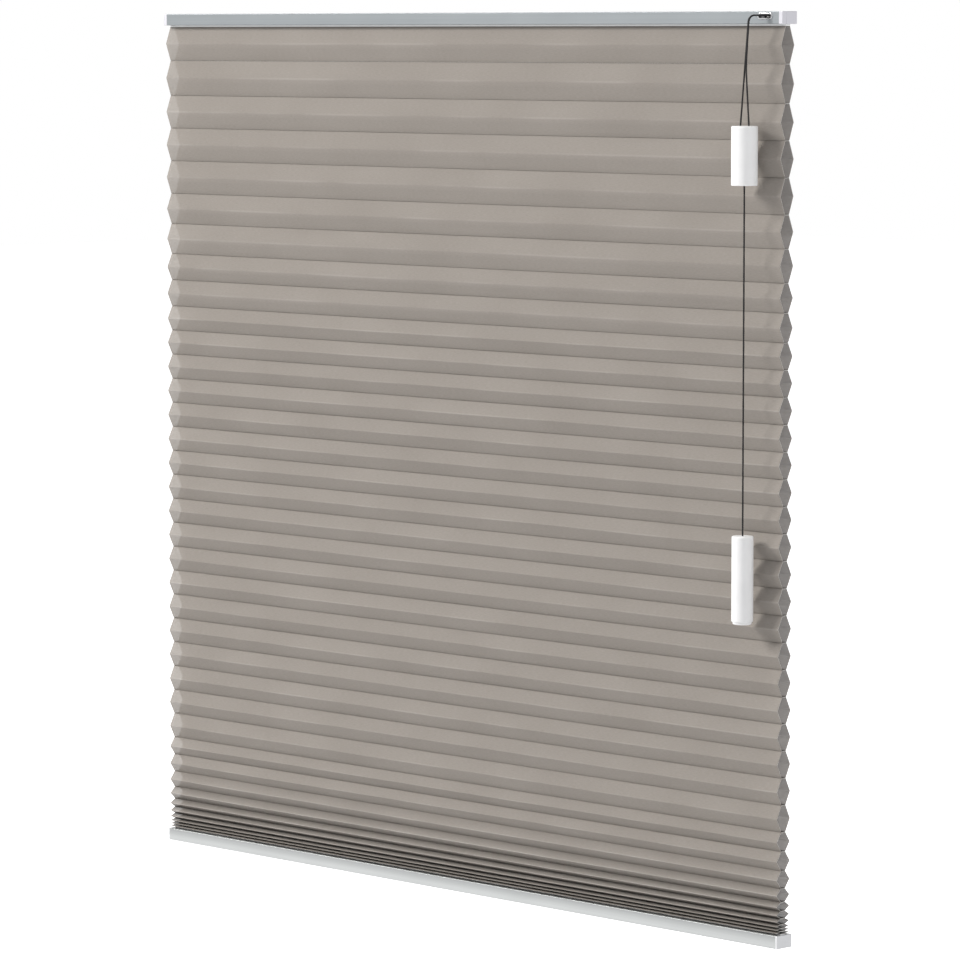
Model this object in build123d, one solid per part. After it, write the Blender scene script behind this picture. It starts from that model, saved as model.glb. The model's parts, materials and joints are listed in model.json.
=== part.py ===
from build123d import *
import math
import os

# Cord-operated pleated blind with diamond cells, hung by the top face of its head rail.
# Millimetres. Origin: middle of the head rail's top face. X runs along the rails,
# -Y faces the room, Z is up. Every sub-part is one STEP file in parts/.

os.makedirs("parts", exist_ok=True)

# ---------------------------------------------------------------- overall sizes
WIDTH = 1000.0           # head rail over its two end caps
DROP = 1000.0            # mounting face to the underside of the bottom rail
HEAD_DEPTH = 22.7
HEAD_HEIGHT = 13.5
FOOT_DEPTH = 23.7
FOOT_HEIGHT = 14.2
FOOT_SHORTER = 0.4       # the bottom rail stops short of the head rail by this at each end
FABRIC_SHORTER = 3.0     # the fabric stops short of the head rail by this at each end

# ---------------------------------------------------------------- extrusions and caps
RAIL_WALL = 1.0
RAIL_CORNER = 0.7
STRIP_SLOT = 7.4         # slot along the rail that the fabric strip slides in
HEAD_CAP_LENGTH = 5.5
FOOT_CAP_LENGTH = 2.5
CAP_PLUG_LENGTH = 8.0
CAP_PLUG_GAP = 0.2       # clearance of a cap's plug in its rail
CAP_EDGE = 0.4           # bevel round a cap's outer face
CAP_PAD_BACK = 6.2       # the head cap's raised pad starts this far behind its front
CAP_PAD_RISE = 0.4

# ---------------------------------------------------------------- fabric and its strips
FABRIC_THICK = 0.3
BOND_DEPTH = 6.7         # glued land between two cells
CELL_DEPTH = 20.6        # crease to crease
# Rows of cells from the top down, as (rows, height of one row). The weight below
# stretches the top rows, and the bottom rows are already gathered on the rail.
CELL_ROWS = [
    (1, 40.2), (1, 41.6), (3, 39.1), (2, 36.2), (2, 31.5), (18, 29.1), (2, 20.9),
    (1, 19.1), (1, 14.5), (1, 9.8), (1, 8.0), (1, 6.3), (1, 4.2), (2, 3.2),
]
STRIP_NECK = 6.7
STRIP_HEAD = 16.0
STRIP_THICK = 0.8
TOP_STRIP_SHOWS = 1.8    # strip seen between the head rail and the first cell
FOOT_STRIP_SHOWS = 1.0
STRIP_HOLE = 1.6         # radius of the cord's hole through a strip
FABRIC_HOLE = 2.0        # radius of the cord's hole through the fabric

# ---------------------------------------------------------------- cords and their run
CORD = 2.0               # diameter
CORD_SIDE_GAP = 0.2      # between the two cords where they lie side by side
CORD_BELOW_TOP = 4.3     # cord level inside the head rail
CORD_INSET = 170.0       # lift cords stand this far in from each end
CORD_GAP = 0.25          # running room between a cord and what guides it
PASS_SIDE = 5.0          # the left cord passes the right guide this far behind the middle
KNOT = 2.2               # radius
EASY_ARC = 0.45          # share of the shorter run that an easy arc at a corner uses

# ---------------------------------------------------------------- cord guides
GUIDE_BEND = 3.0         # radius of the cord's middle line round a guide wheel
GUIDE_FLANGE = 3.6
GUIDE_WHEEL_WIDTH = 3.4
GUIDE_LENGTH = 14.0
GUIDE_SIDE_GAP = 0.3     # housing to wheel, and housing to the rail's inner faces
GUIDE_PLATE = 1.4
PIN = 0.8                # radius of a guide wheel's pin
PIN_RUNNING = 0.05       # radial clearance of a wheel on its pin
PIN_SEAT = 0.02          # radial clearance of a pin in its housing

# ---------------------------------------------------------------- cord lock
LOCK_START_INSET = 60.0  # left end of the lock housing, from the right end of the head rail
LOCK_END_INSET = 14.0
TURN_RADIUS = 4.2        # inner cord's middle line round the turning wheel
TURN_FLANGE = 5.1
TURN_WHEEL_WIDTH = 3.8
TURN_BEHIND_FACE = 4.0   # the inner cord leaves the wheel this far behind the exit
TURN_PIN = 1.2
ROLLER = 2.2             # grip roller, radius over its teeth
ROLLER_TEETH = 18
ROLLER_TOOTH = 0.25
ROLLER_WIDTH = 8.0
ROLLER_STUB = 1.0        # radius of the roller's two stubs
ROLLER_STUB_LENGTH = 1.8
ROLLER_CORD_GAP = 0.1
ROLLER_TRAVEL = 2.2
ROLLER_SLOPE = 25.0      # degrees, the slots fall towards the exit
ROLLER_INSET = 44.0      # gripping place, from the right end of the head rail
ROLLER_WALL_BEFORE = 4.4 # the slotted walls reach this far left of the gripping place
ROLLER_WALL_AFTER = 6.6  # and this far right of it
SLOT_GAP = 0.15
LOCK_SHELL = 0.9
ANVIL_LENGTH = 8.0

# ---------------------------------------------------------------- cord exit plate
PLATE_LENGTH = 21.2
PLATE_HEIGHT = 6.7
PLATE_RIM = 0.8          # stands proud of the rail's face
PLATE_MIDDLE_INSET = 25.2
PLATE_BELOW_TOP = 5.1
PLATE_SLOT_LENGTH = 17.8
PLATE_SLOT_HEIGHT = 4.2
SLEEVE_WALL = 0.5
SLEEVE_GAP = 0.1
EXIT_INSET = 20.2        # where the cords pass the rail's face, from the right end
HANG_INSET = 33.0        # where they turn down
HANG_OUT = 28.5          # how far in front of the blind's middle they hang

# ---------------------------------------------------------------- condenser, pull cord, tassel
CONDENSER_INSET = 38.4   # condenser and tassel axis, from the right end
CONDENSER_OUT = 28.0
CONDENSER_TOP = 120.8    # below the mounting face
CONDENSER_RADIUS = 14.1
CONDENSER_HEIGHT = 63.0
CONDENSER_HOLES = 12.9   # hole to hole
TASSEL_TOP = 556.6
TASSEL_RADIUS = 11.7
TASSEL_HEIGHT = 91.6
TASSEL_LIP = 3.0         # plug seen below the tassel's shell
TASSEL_LIP_RADIUS = 10.3
GRIP_WALL = 1.6
GRIP_TOP = 2.4
GRIP_EDGE = 1.3
GRIP_LOW_EDGE = 0.8
GRIP_HOLE_GAP = 0.4
PLUG_DEPTH = 5.0
PLUG_GAP = 0.1

# ---------------------------------------------------------------- bottom rail's fittings
BALLAST_WIDTH = 12.0
BALLAST_THICK = 3.0
BALLAST_SHORTER = 50.0
ANCHOR_LENGTH = 12.0
ANCHOR_WIDTH = 14.0
ANCHOR_THICK = 3.6

# ---------------------------------------------------------------- worked-out places
PAST = 1.0               # a cut runs this far past the face that it opens
HALF = WIDTH / 2
FRONT = -HEAD_DEPTH / 2
RAIL_INSIDE_TOP = -RAIL_WALL
RAIL_INSIDE_FLOOR = RAIL_WALL - HEAD_HEIGHT
STRIP_TOP = RAIL_INSIDE_FLOOR + STRIP_THICK
FOOT_TOP = FOOT_HEIGHT - DROP
FOOT_END = HALF - FOOT_SHORTER
FABRIC_TOP = -HEAD_HEIGHT - TOP_STRIP_SHOWS
FABRIC_BOTTOM = FOOT_TOP + FOOT_STRIP_SHOWS
FABRIC_END = HALF - FABRIC_SHORTER
CORD_Z = -CORD_BELOW_TOP
CORD_R = CORD / 2
CORD_PITCH = CORD + CORD_SIDE_GAP
GUIDE_X = HALF - CORD_INSET
FOOT_STRIP_BOTTOM = FOOT_TOP - RAIL_WALL - STRIP_THICK
ANCHOR_BOTTOM = FOOT_STRIP_BOTTOM - ANCHOR_THICK
GRIP_X = HALF - CONDENSER_INSET
GRIP_Y = -CONDENSER_OUT


# ---------------------------------------------------------------- small helpers
def block(x0, x1, y0, y1, z0, z1):
    """A box between two corners."""
    middle = Pos((x0 + x1) / 2, (y0 + y1) / 2, (z0 + z1) / 2)
    return middle * Box(abs(x1 - x0), abs(y1 - y0), abs(z1 - z0))


def rod_y(radius, y0, y1, x, z):
    """A round bar along Y."""
    return Pos(x, (y0 + y1) / 2, z) * Rot(90, 0, 0) * Cylinder(radius, abs(y1 - y0))


def rod_z(radius, z0, z1, x, y):
    """A round bar along Z."""
    return Pos(x, y, (z0 + z1) / 2) * Cylinder(radius, abs(z1 - z0))


def rail_section(x0, x1, depth, z0, z1, corner):
    """A rounded bar along X whose section fills depth by z0..z1."""
    section = Pos(0, (z0 + z1) / 2) * RectangleRounded(depth, z1 - z0, corner)
    return extrude(Plane.YZ.offset(x0) * section, amount=x1 - x0)


def obround_y(length, height, x, z, y0, y1):
    """A bar along Y with an obround section, long way along X."""
    section = Pos(x, -z) * SlotOverall(length, height)
    plane = Plane(origin=(0, y0, 0), x_dir=(1, 0, 0), z_dir=(0, 1, 0))
    return extrude(plane * section, amount=y1 - y0)


def mirrored(solid):
    """The same piece for the other end of the blind."""
    return mirror(solid, about=Plane.YZ)


def save(name, solid):
    """Writes one sub-part."""
    solid.label = name
    export_step(solid, os.path.join("parts", name + ".step"))


def wheel(groove_radius, flange, width, bore, groove):
    """A grooved wheel about Z: the groove holds a cord of the given section radius."""
    body = Cylinder(flange, width)
    body -= Torus(groove_radius, groove)
    body -= Cylinder(flange, 2 * groove) - Cylinder(groove_radius, 2 * groove)
    return body - Cylinder(bore, 2 * width)


def cord_tube(points, radii):
    """A cord along straight runs joined by tangent arcs."""
    path = FilletPolyline(*points, radius=radii)
    start = Plane(origin=points[0], z_dir=path % 0)
    tube = sweep(start * Circle(CORD_R), path=path)
    expected = math.pi * CORD_R ** 2 * path.length
    print("cord", round(path.length, 1), "mm, radii", [round(r, 1) for r in radii],
          "volume over section x length", round(tube.volume / expected, 5))
    return tube


def corner_radius(before, corner, after):
    """The largest easy arc at a corner of a cord's route."""
    run_in = Vector(*corner) - Vector(*before)
    run_out = Vector(*after) - Vector(*corner)
    half_turn = math.radians(run_in.get_angle(run_out) / 2)
    return EASY_ARC * min(run_in.length, run_out.length) / math.tan(half_turn)


# ---------------------------------------------------------------- the two rails
def head_rail():
    """Closed-top channel with two inward lips and the cut-out for the exit plate."""
    length_end = HALF - HEAD_CAP_LENGTH
    rail = rail_section(-length_end, length_end, HEAD_DEPTH, -HEAD_HEIGHT, 0, RAIL_CORNER)
    inside = HEAD_DEPTH / 2 - RAIL_WALL
    rail -= block(-HALF, HALF, -inside, inside, RAIL_INSIDE_FLOOR, RAIL_INSIDE_TOP)
    rail -= block(-HALF, HALF, -STRIP_SLOT / 2, STRIP_SLOT / 2, -HEAD_HEIGHT - PAST, RAIL_INSIDE_FLOOR)
    cut_length = PLATE_SLOT_LENGTH + 2 * (SLEEVE_WALL + SLEEVE_GAP)
    cut_height = PLATE_SLOT_HEIGHT + 2 * (SLEEVE_WALL + SLEEVE_GAP)
    plate_x = HALF - PLATE_MIDDLE_INSET
    rail -= obround_y(cut_length, cut_height, plate_x, -PLATE_BELOW_TOP,
                      FRONT - RAIL_WALL, FRONT + 2 * RAIL_WALL)
    return rail


def bottom_rail():
    """The same channel turned over: its slot faces up."""
    end = FOOT_END - FOOT_CAP_LENGTH
    rail = rail_section(-end, end, FOOT_DEPTH, -DROP, FOOT_TOP, RAIL_CORNER)
    inside = FOOT_DEPTH / 2 - RAIL_WALL
    rail -= block(-HALF, HALF, -inside, inside, RAIL_WALL - DROP, FOOT_TOP - RAIL_WALL)
    rail -= block(-HALF, HALF, -STRIP_SLOT / 2, STRIP_SLOT / 2, FOOT_TOP - RAIL_WALL, FOOT_TOP + PAST)
    return rail


def head_cap():
    """Right-hand cap of the head rail: a block with a raised pad, a plug and a strip pocket."""
    rail_end = HALF - HEAD_CAP_LENGTH
    face = HALF - CAP_PAD_RISE
    cap = rail_section(rail_end, face, HEAD_DEPTH, -HEAD_HEIGHT, 0, RAIL_CORNER)
    cap = chamfer(cap.edges().group_by(Axis.X)[-1], CAP_EDGE)
    pad = block(face - CAP_EDGE, HALF, FRONT + CAP_PAD_BACK, -FRONT - CAP_EDGE,
                CAP_EDGE - HEAD_HEIGHT, -CAP_EDGE)
    cap += chamfer(pad.edges().group_by(Axis.X)[-1], CAP_PAD_RISE / 2)
    inside = HEAD_DEPTH / 2 - RAIL_WALL - CAP_PLUG_GAP
    cap += block(rail_end - CAP_PLUG_LENGTH, rail_end, -inside, inside,
                 STRIP_TOP + CAP_PLUG_GAP, RAIL_INSIDE_TOP - CAP_PLUG_GAP)
    pocket = STRIP_HEAD / 2 + CAP_PLUG_GAP
    pocket_end = FABRIC_END + CAP_PLUG_GAP
    cap -= block(rail_end, pocket_end, -pocket, pocket, RAIL_INSIDE_FLOOR, STRIP_TOP + CAP_PLUG_GAP)
    cap -= block(rail_end, pocket_end, -STRIP_SLOT / 2, STRIP_SLOT / 2,
                 -HEAD_HEIGHT - PAST, RAIL_INSIDE_FLOOR)
    return cap


def bottom_cap():
    """Right-hand cap of the bottom rail: a bevelled plate with a plug."""
    rail_end = FOOT_END - FOOT_CAP_LENGTH
    cap = rail_section(rail_end, FOOT_END, FOOT_DEPTH, -DROP, FOOT_TOP, RAIL_CORNER)
    cap = chamfer(cap.edges().group_by(Axis.X)[-1], CAP_EDGE)
    inside = FOOT_DEPTH / 2 - RAIL_WALL - CAP_PLUG_GAP
    cap += block(rail_end - CAP_PLUG_LENGTH, rail_end, -inside, inside,
                 RAIL_WALL + CAP_PLUG_GAP - DROP, FOOT_STRIP_BOTTOM - CAP_PLUG_GAP)
    return cap


# ---------------------------------------------------------------- fabric
def cell_heights():
    """Height of each row, top to bottom, scaled to fill the fabric's drop."""
    heights = [height for rows, height in CELL_ROWS for _ in range(rows)]
    share = (FABRIC_TOP - FABRIC_BOTTOM) / sum(heights)
    return [height * share for height in heights]


def cell_fabric():
    """All the cells as one bonded piece: a zigzag column with a hollow in each row."""
    bond = BOND_DEPTH / 2
    crease = CELL_DEPTH / 2
    back = [(bond, FABRIC_TOP)]
    hollows = []
    top = FABRIC_TOP
    for height in cell_heights():
        middle = top - height / 2
        bottom = top - height
        back += [(crease, middle), (bond, bottom)]
        slant = math.hypot(crease - bond, height / 2)
        inset = FABRIC_THICK * slant / (height / 2)
        land = bond - inset + FABRIC_THICK * (crease - bond) / (height / 2)
        hollows.append([(land, top - FABRIC_THICK), (crease - inset, middle),
                        (land, bottom + FABRIC_THICK), (-land, bottom + FABRIC_THICK),
                        (inset - crease, middle), (-land, top - FABRIC_THICK)])
        top = bottom
    front = [(-y, z) for y, z in reversed(back)]
    section = make_face(Polyline(*back, *front, close=True))
    for hollow in hollows:
        section -= make_face(Polyline(*hollow, close=True))
    fabric = extrude(Plane.YZ.offset(-FABRIC_END) * section, amount=2 * FABRIC_END)
    for x in (-GUIDE_X, GUIDE_X):
        fabric -= rod_z(FABRIC_HOLE, FABRIC_BOTTOM - PAST, FABRIC_TOP + PAST, x, 0)
    return fabric


def fabric_strip(neck_end, head_near, head_far):
    """T-shaped strip glued to the fabric: its head sits inside a rail."""
    strip = block(-FABRIC_END, FABRIC_END, -STRIP_NECK / 2, STRIP_NECK / 2, neck_end, head_near)
    strip += block(-FABRIC_END, FABRIC_END, -STRIP_HEAD / 2, STRIP_HEAD / 2, head_near, head_far)
    for x in (-GUIDE_X, GUIDE_X):
        low = min(neck_end, head_far) - PAST
        high = max(neck_end, head_far) + PAST
        strip -= rod_z(STRIP_HOLE, low, high, x, 0)
    return strip


# ---------------------------------------------------------------- cord guides
def guide_wheel_middle():
    """Where the right guide's wheel turns: the cord rises on its left and leaves over its top."""
    return GUIDE_X + GUIDE_BEND, CORD_Z - GUIDE_BEND


def guide_wheel():
    """Right-hand guide wheel."""
    x, z = guide_wheel_middle()
    spool = wheel(GUIDE_BEND, GUIDE_FLANGE, GUIDE_WHEEL_WIDTH, PIN + PIN_RUNNING, CORD_R + CORD_GAP)
    return Pos(x, 0, z) * Rot(90, 0, 0) * spool


def guide_wall():
    """Where the housing's two inner walls start and end, in front of and behind the middle."""
    near = GUIDE_WHEEL_WIDTH / 2 + GUIDE_SIDE_GAP
    return near, near + GUIDE_PLATE


def guide_pin():
    """Right-hand guide's pin."""
    x, z = guide_wheel_middle()
    return rod_y(PIN, -guide_wall()[1], guide_wall()[1], x, z)


def guide_housing():
    """Right-hand guide: a floor, two walls for the pin and two cheeks against the rail."""
    x, z = guide_wheel_middle()
    near, far = guide_wall()
    x0 = x - GUIDE_LENGTH / 2
    x1 = x + GUIDE_LENGTH / 2
    side = HEAD_DEPTH / 2 - RAIL_WALL - GUIDE_SIDE_GAP
    top = RAIL_INSIDE_TOP - GUIDE_SIDE_GAP
    floor = z - GUIDE_FLANGE - CORD_GAP
    housing = block(x0, x1, -side, side, STRIP_TOP, floor)
    for sign in (-1, 1):
        housing += block(x0, x1, sign * near, sign * far, floor, top)
        housing += block(x0, x1, sign * (side - GUIDE_PLATE), sign * side, floor, top)
    housing -= rod_y(PIN + PIN_SEAT, -far - PAST, far + PAST, x, z)
    return housing - rod_z(STRIP_HOLE, STRIP_TOP - PAST, floor + PAST, GUIDE_X, 0)


# ---------------------------------------------------------------- cord lock and exit
def exit_line():
    """The cords' level way out: point in the rail's face, direction, and outward side."""
    face = (HALF - EXIT_INSET, FRONT)
    hang = (HALF - HANG_INSET, -HANG_OUT)
    length = math.dist(face, hang)
    along = ((hang[0] - face[0]) / length, (hang[1] - face[1]) / length)
    return face, along, (-along[1], along[0]), length


def exit_point(side, distance):
    """A point on the level way out of the inner (-1) or outer (+1) cord."""
    face, along, outward, _ = exit_line()
    shift = side * CORD_PITCH / 2
    return (face[0] + shift * outward[0] + distance * along[0],
            face[1] + shift * outward[1] + distance * along[1])


def turn_middle():
    """Axis of the wheel that turns the cords out of the rail."""
    _, _, outward, _ = exit_line()
    x, y = exit_point(-1, -TURN_BEHIND_FACE)
    return x - TURN_RADIUS * outward[0], y - TURN_RADIUS * outward[1]


def lock_cord_y(side):
    """Cord's place across the lock: inner (-1) or outer (+1)."""
    return turn_middle()[1] + TURN_RADIUS + (side + 1) / 2 * CORD_PITCH


def turning_wheel():
    """Wheel on an upright pin beside the exit."""
    x, y = turn_middle()
    spool = wheel(TURN_RADIUS, TURN_FLANGE, TURN_WHEEL_WIDTH, TURN_PIN + PIN_RUNNING,
                  CORD_R + CORD_GAP)
    return Pos(x, y, CORD_Z) * spool


def lock_levels():
    """Heights inside the lock: floor, underside of the roof, roof, wheel's seat."""
    roof = RAIL_INSIDE_TOP - GUIDE_SIDE_GAP
    seat = CORD_Z - TURN_WHEEL_WIDTH / 2 - CORD_GAP
    return STRIP_TOP + LOCK_SHELL, roof - LOCK_SHELL, roof, seat


def turning_pin():
    """Upright pin between the lock's pedestal and its roof."""
    floor, _, roof, _ = lock_levels()
    x, y = turn_middle()
    return rod_z(TURN_PIN, floor, roof, x, y)


def roller_middle():
    """Grip roller's axis in its gripping place: across, and along X and Z."""
    y = (lock_cord_y(-1) + lock_cord_y(1)) / 2
    return HALF - ROLLER_INSET, y, CORD_Z - CORD_R - ROLLER_CORD_GAP - ROLLER


def grip_roller():
    """Straight-toothed roller with a stub at each end."""
    x, y, z = roller_middle()
    rim = []
    for step in range(2 * ROLLER_TEETH):
        angle = math.pi * step / ROLLER_TEETH
        radius = ROLLER - (step % 2) * ROLLER_TOOTH
        rim.append((x + radius * math.cos(angle), -z + radius * math.sin(angle)))
    plane = Plane(origin=(0, y - ROLLER_WIDTH / 2, 0), x_dir=(1, 0, 0), z_dir=(0, 1, 0))
    body = extrude(plane * make_face(Polyline(*rim, close=True)), amount=ROLLER_WIDTH)
    reach = ROLLER_WIDTH / 2 + ROLLER_STUB_LENGTH
    return body + rod_y(ROLLER_STUB, y - reach, y + reach, x, z)


def roller_slot(y0, y1):
    """The slanted slot that a stub slides in."""
    x, _, z = roller_middle()
    slope = math.radians(ROLLER_SLOPE)
    run = ROLLER_TRAVEL * math.cos(slope)
    fall = ROLLER_TRAVEL * math.sin(slope)
    reach = ROLLER_STUB + SLOT_GAP
    section = SlotCenterToCenter(ROLLER_TRAVEL, 2 * reach)
    plane = Plane(origin=(x + run / 2, y0, z - fall / 2),
                  x_dir=(math.cos(slope), 0, -math.sin(slope)), z_dir=(0, 1, 0))
    return extrude(plane * section, amount=y1 - y0)


def cord_lock_housing():
    """Floor, roof, roller walls with slanted slots, anvil rib and wheel pedestal."""
    floor, ceiling, roof, seat = lock_levels()
    x0 = HALF - LOCK_START_INSET
    x1 = HALF - LOCK_END_INSET
    side = HEAD_DEPTH / 2 - RAIL_WALL - GUIDE_SIDE_GAP
    turn_x, turn_y = turn_middle()
    roller_x, roller_y, _ = roller_middle()
    housing = block(x0, x1, -side, side, STRIP_TOP, floor)
    housing += block(x0, x1, -side, side, ceiling, roof)
    housing += block(x0, x1, side - LOCK_SHELL, side, STRIP_TOP, roof)
    wheel_room = TURN_FLANGE + CORD_GAP
    housing += block(x0, turn_x - wheel_room, -side, LOCK_SHELL - side, STRIP_TOP, roof)
    near = ROLLER_WIDTH / 2 + GUIDE_SIDE_GAP
    far = ROLLER_WIDTH / 2 + ROLLER_STUB_LENGTH
    wall_x0 = roller_x - ROLLER_WALL_BEFORE
    wall_x1 = roller_x + ROLLER_WALL_AFTER
    for y0, y1 in ((roller_y - far, roller_y - near), (roller_y + near, roller_y + far)):
        housing += block(wall_x0, wall_x1, y0, y1, STRIP_TOP, roof)
        housing -= roller_slot(y0, y1)
    anvil_low = CORD_Z + CORD_R + ROLLER_CORD_GAP
    housing += block(roller_x - ANVIL_LENGTH / 2, roller_x + ANVIL_LENGTH / 2,
                     roller_y - near, roller_y + near, anvil_low, ceiling)
    housing += rod_z(TURN_FLANGE - LOCK_SHELL, STRIP_TOP, seat, turn_x, turn_y)
    return housing - rod_z(TURN_PIN + PIN_SEAT, floor, roof, turn_x, turn_y)


def cord_exit_plate():
    """Obround rim on the rail's face, with a sleeve through the rail's wall."""
    x = HALF - PLATE_MIDDLE_INSET
    z = -PLATE_BELOW_TOP
    rim = obround_y(PLATE_LENGTH, PLATE_HEIGHT, x, z, FRONT - PLATE_RIM, FRONT)
    rim = fillet(rim.edges().group_by(Axis.Y)[0], PLATE_RIM / 2)
    sleeve_length = PLATE_SLOT_LENGTH + 2 * SLEEVE_WALL
    sleeve_height = PLATE_SLOT_HEIGHT + 2 * SLEEVE_WALL
    plate = rim + obround_y(sleeve_length, sleeve_height, x, z, FRONT, FRONT + RAIL_WALL)
    return plate - obround_y(PLATE_SLOT_LENGTH, PLATE_SLOT_HEIGHT, x, z,
                             FRONT - 2 * PLATE_RIM, FRONT + 2 * RAIL_WALL)


# ---------------------------------------------------------------- cords
# Each free length hangs through these points, given from the right end of the head rail (X),
# from the blind's middle (Y) and below the mounting face (Z): it turns down in three equal
# steps, and the outer cord has a lazy kink half-way. Both end in knots in the condenser.
INNER_FREE = [(31.03, -24.03, 4.3), (32.84, -26.44, 6.04), (33.88, -27.84, 9.06)]
OUTER_FREE = [
    (29.27, -25.35, 4.3), (31.08, -27.76, 6.04), (32.12, -29.16, 9.06),
    (35.30, -29.20, 52.0), (35.50, -29.10, 64.0),
]


def free_points(route, side):
    """A free length's points in the part's frame, down to its knot under the condenser's top."""
    points = [(HALF - inset, y, -below) for inset, y, below in route]
    knot_z = -CONDENSER_TOP - GRIP_TOP - KNOT
    return points + [(GRIP_X + side * CONDENSER_HOLES / 2, GRIP_Y, knot_z)]


def lift_cord(guide_x, side, route, passes):
    """A lift cord from its knot in the bottom rail to its knot in the condenser."""
    free = free_points(route, side)
    _, along, _, _ = exit_line()
    y = lock_cord_y(side)
    near = exit_point(side, 0)
    back = (y - near[1]) / along[1]
    turn = (near[0] + back * along[0], y, CORD_Z)
    knot = (guide_x, 0, ANCHOR_BOTTOM - KNOT)
    points = [knot, (guide_x, 0, CORD_Z)] + passes
    points += [(HALF - LOCK_START_INSET, y, CORD_Z), turn] + free
    radii = [GUIDE_BEND]
    for before, corner, after in zip(points[1:], points[2:], points[3:]):
        radii.append(corner_radius(before, corner, after))
    radii[points.index(turn) - 1] = TURN_RADIUS + (side + 1) / 2 * CORD_PITCH
    cord = cord_tube(points, radii)
    cord += Pos(*knot) * Sphere(KNOT)
    return cord + Pos(*free[-1]) * Sphere(KNOT)


def pull_cord():
    """One straight cord between its knots in the condenser and the tassel."""
    top = KNOT - CONDENSER_TOP - CONDENSER_HEIGHT + PLUG_DEPTH
    bottom = -TASSEL_TOP - GRIP_TOP - KNOT
    cord = rod_z(CORD_R, bottom, top, GRIP_X, GRIP_Y)
    for z in (bottom, top):
        cord += Pos(GRIP_X, GRIP_Y, z) * Sphere(KNOT)
    return cord


# ---------------------------------------------------------------- condenser and tassel
def grip_shell(top, radius, height, hole_places):
    """A round shell closed at the top and open below, with cord holes in its top."""
    shell = rod_z(radius, -top - height, -top, GRIP_X, GRIP_Y)
    shell = fillet(shell.edges().group_by(Axis.Z)[-1], GRIP_EDGE)
    shell = fillet(shell.edges().group_by(Axis.Z)[0], GRIP_LOW_EDGE)
    shell -= rod_z(radius - GRIP_WALL, -top - height - PAST, -top - GRIP_TOP, GRIP_X, GRIP_Y)
    for x in hole_places:
        shell -= rod_z(CORD_R + GRIP_HOLE_GAP, -top - GRIP_TOP - PAST, PAST - top, GRIP_X + x, GRIP_Y)
    return shell


def condenser_base():
    """Plug that closes the condenser, flush with its rim, with a hole for the pull cord."""
    bottom = -CONDENSER_TOP - CONDENSER_HEIGHT
    plug = rod_z(CONDENSER_RADIUS - GRIP_WALL - PLUG_GAP, bottom, bottom + PLUG_DEPTH, GRIP_X, GRIP_Y)
    hole = rod_z(CORD_R + GRIP_HOLE_GAP, bottom - PAST, bottom + PLUG_DEPTH + PAST, GRIP_X, GRIP_Y)
    return plug - hole


def tassel_plug():
    """Plug with a narrower rounded lip that shows below the tassel."""
    shell_bottom = -TASSEL_TOP - TASSEL_HEIGHT
    lip = rod_z(TASSEL_LIP_RADIUS, shell_bottom - TASSEL_LIP, shell_bottom, GRIP_X, GRIP_Y)
    lip = fillet(lip.edges().group_by(Axis.Z)[0], TASSEL_LIP / 2)
    inner = TASSEL_RADIUS - GRIP_WALL - PLUG_GAP
    return lip + rod_z(inner, shell_bottom, shell_bottom + PLUG_DEPTH, GRIP_X, GRIP_Y)


# ---------------------------------------------------------------- bottom rail's fittings
def ballast_bar():
    """Steel flat that lies on the bottom rail's floor."""
    end = FOOT_END - BALLAST_SHORTER
    floor = RAIL_WALL - DROP
    return block(-end, end, -BALLAST_WIDTH / 2, BALLAST_WIDTH / 2, floor, floor + BALLAST_THICK)


def cord_anchor():
    """Button under the bottom strip that the right cord's knot pulls against."""
    button = block(GUIDE_X - ANCHOR_LENGTH / 2, GUIDE_X + ANCHOR_LENGTH / 2,
                   -ANCHOR_WIDTH / 2, ANCHOR_WIDTH / 2, ANCHOR_BOTTOM, FOOT_STRIP_BOTTOM)
    return button - rod_z(CORD_R + CORD_GAP, ANCHOR_BOTTOM - PAST, FOOT_STRIP_BOTTOM + PAST, GUIDE_X, 0)


# ---------------------------------------------------------------- write everything
save("head_rail", head_rail())
save("head_cap_right", head_cap())
save("head_cap_left", mirrored(head_cap()))
save("fabric_top_strip", fabric_strip(FABRIC_TOP, RAIL_INSIDE_FLOOR, STRIP_TOP))
save("cell_fabric", cell_fabric())

save("cord_exit_plate", cord_exit_plate())
save("cord_lock_housing", cord_lock_housing())
save("turning_wheel", turning_wheel())
save("turning_pin", turning_pin())
save("grip_roller", grip_roller())

# Both guides are alike: the left one is the right one moved along the rail.
to_left = Pos(-2 * GUIDE_X, 0, 0)
for piece_name, piece in (("cord_guide", guide_housing()), ("guide_wheel", guide_wheel()),
                          ("guide_pin", guide_pin()), ("cord_anchor", cord_anchor())):
    save(piece_name + "_right", piece)
    save(piece_name + "_left", to_left * piece)

pass_right_guide = [(guide_wheel_middle()[0], PASS_SIDE, CORD_Z)]
save("lift_cord_right", lift_cord(GUIDE_X, -1, INNER_FREE, []))
save("lift_cord_left", lift_cord(-GUIDE_X, 1, OUTER_FREE, pass_right_guide))
save("pull_cord", pull_cord())

cord_holes = (-CONDENSER_HOLES / 2, CONDENSER_HOLES / 2)
save("condenser_shell", grip_shell(CONDENSER_TOP, CONDENSER_RADIUS, CONDENSER_HEIGHT, cord_holes))
save("condenser_base", condenser_base())
save("tassel_shell", grip_shell(TASSEL_TOP, TASSEL_RADIUS, TASSEL_HEIGHT, (0,)))
save("tassel_plug", tassel_plug())

save("bottom_rail", bottom_rail())
save("bottom_cap_right", bottom_cap())
save("bottom_cap_left", mirrored(bottom_cap()))
save("fabric_bottom_strip", fabric_strip(FABRIC_BOTTOM, FOOT_TOP - RAIL_WALL, FOOT_STRIP_BOTTOM))
save("ballast_bar", ballast_bar())

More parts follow.
